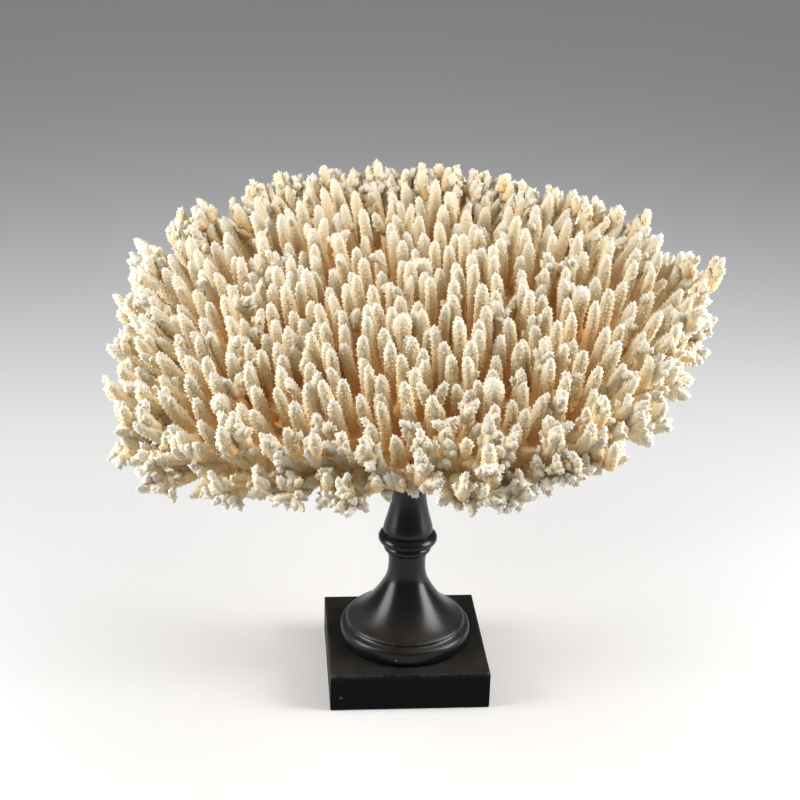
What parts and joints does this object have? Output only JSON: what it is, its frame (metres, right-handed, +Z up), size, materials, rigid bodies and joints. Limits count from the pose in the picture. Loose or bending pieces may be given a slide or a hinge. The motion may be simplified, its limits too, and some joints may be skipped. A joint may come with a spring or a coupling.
{
  "type": "table coral on pedestal",
  "caption": "Flat-topped branching table coral with upright fingers over a wide plate, its short trunk fixed on a black turned column with a square plinth.",
  "frame": {"origin": "centre of the plinth's flat underside", "axes": "+Z up, -Y towards the coral's lower front edge, +X to the right seen from the front"},
  "size_m": [0.451, 0.416, 0.3585],
  "materials": {
    "pedestal_wood": "black satin paint",
    "coral": "matte porous skeleton"
  },
  "bodies": {
    "root": {"plinth": "pedestal_wood", "turned_column": "pedestal_wood", "coral_trunk": "coral", "coral_limb_1": "coral", "coral_limb_2": "coral", "coral_limb_3": "coral", "coral_limb_4": "coral", "coral_limb_5": "coral", "coral_limb_6": "coral", "coral_limb_7": "coral", "coral_limb_8": "coral"}
  },
  "joints": []
}
